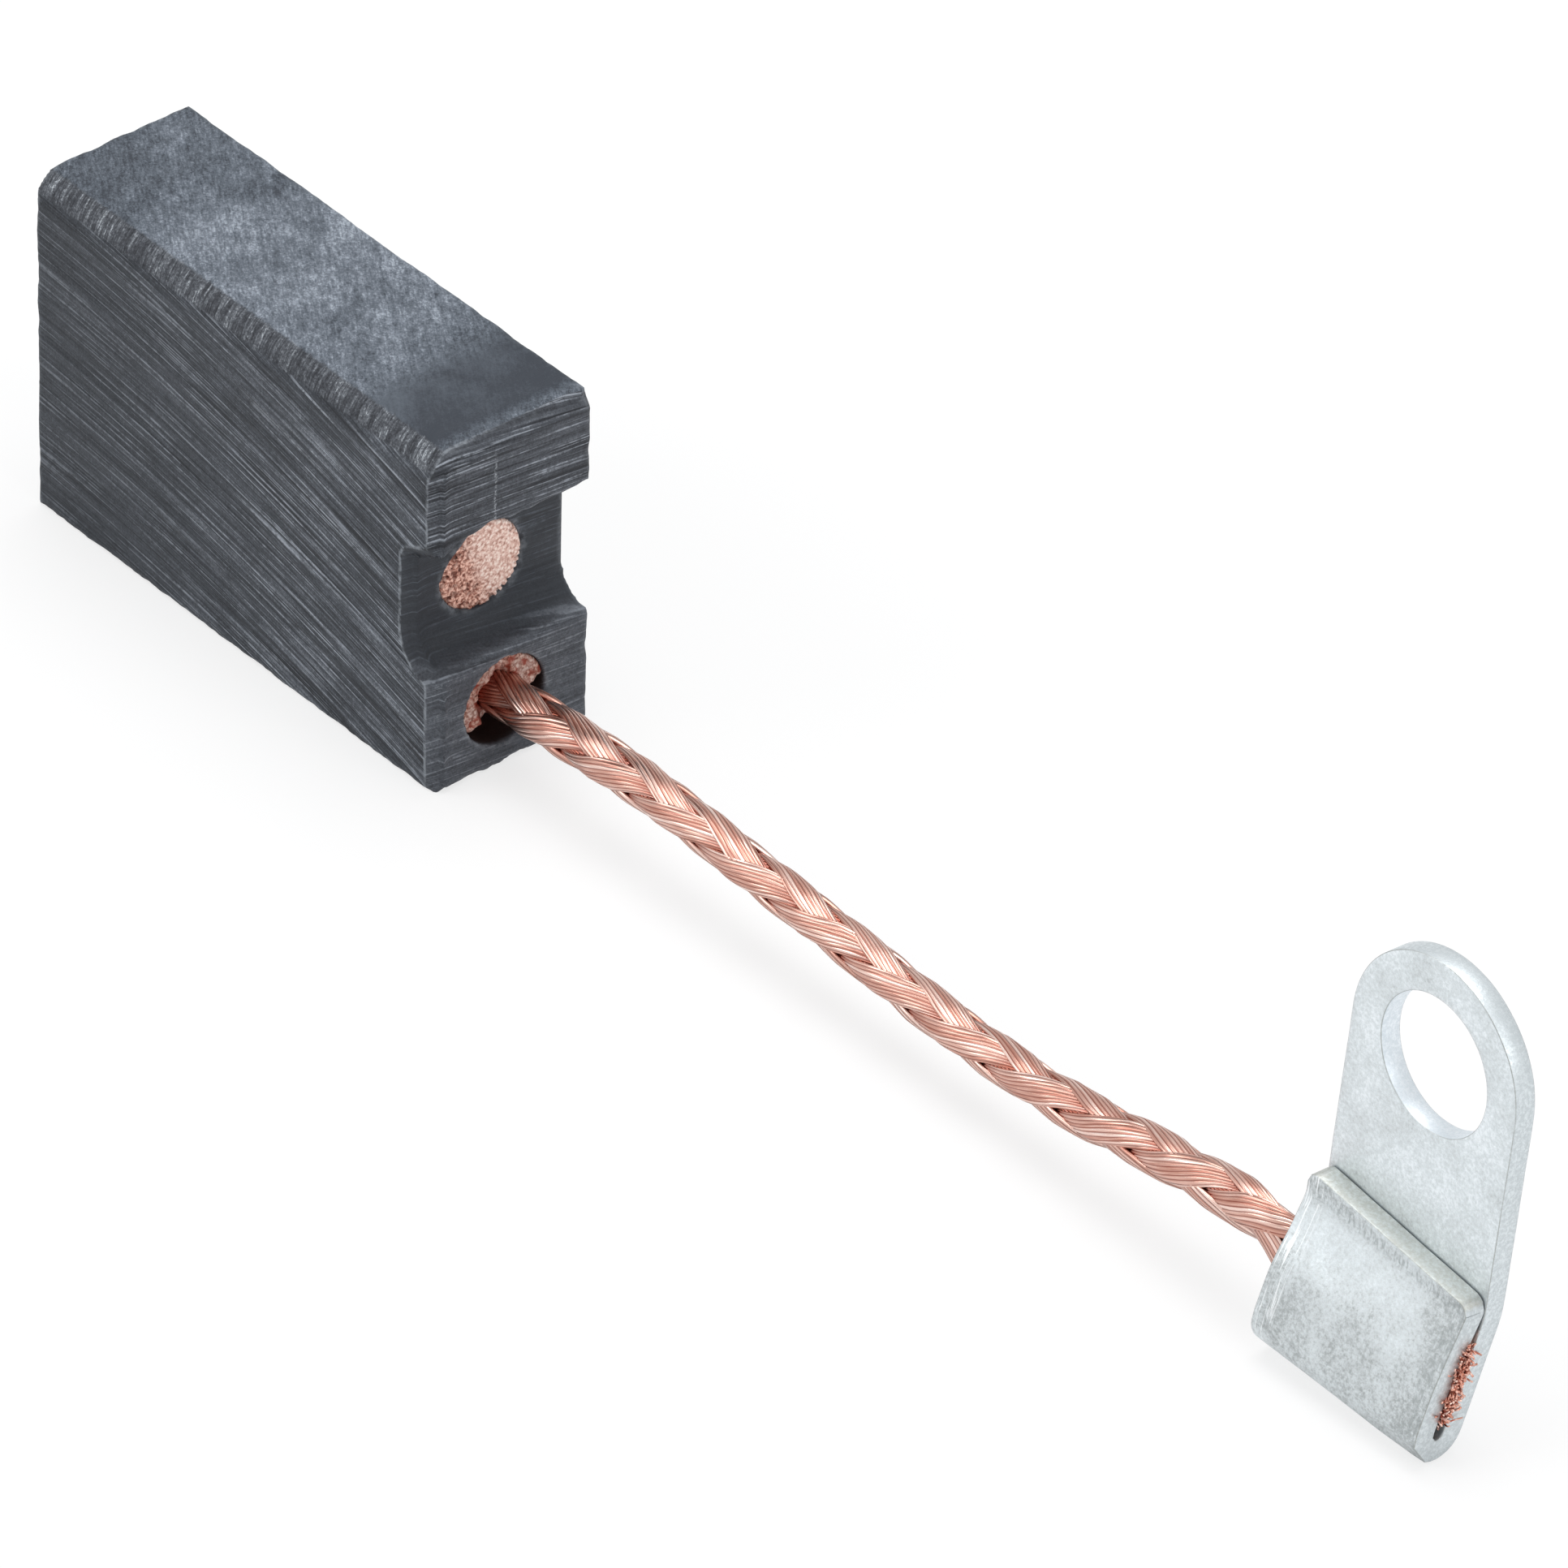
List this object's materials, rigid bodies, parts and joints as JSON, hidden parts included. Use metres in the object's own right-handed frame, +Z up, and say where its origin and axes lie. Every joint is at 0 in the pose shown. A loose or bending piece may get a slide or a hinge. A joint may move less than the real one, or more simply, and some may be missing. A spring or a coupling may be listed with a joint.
{
  "type": "carbon brush",
  "caption": "Grooved carbon block with a braided copper shunt tamped into its end and a folded, tinned flag terminal with a screw eye.",
  "frame": {"origin": "middle of the narrow long face that the carbon block stands on", "axes": "+X from the running face to the shunt end, +Y across the thickness to the rear side, +Z up"},
  "size_m": [0.0627, 0.006, 0.0152],
  "materials": {
    "carbon": "dry matt, saw-marked",
    "tamped_copper": "rough, granular",
    "spring_steel": "satin",
    "insulator": "matt",
    "copper_braid": "bright fine wires",
    "tinned_sheet": "satin, finely mottled"
  },
  "bodies": {
    "root": {"carbon_block": "carbon", "stop_plug": "tamped_copper", "stop_spring": "spring_steel", "stop_pin": "insulator", "wire_tamping": "tamped_copper", "shunt": "copper_braid", "terminal": "tinned_sheet"}
  },
  "joints": []
}
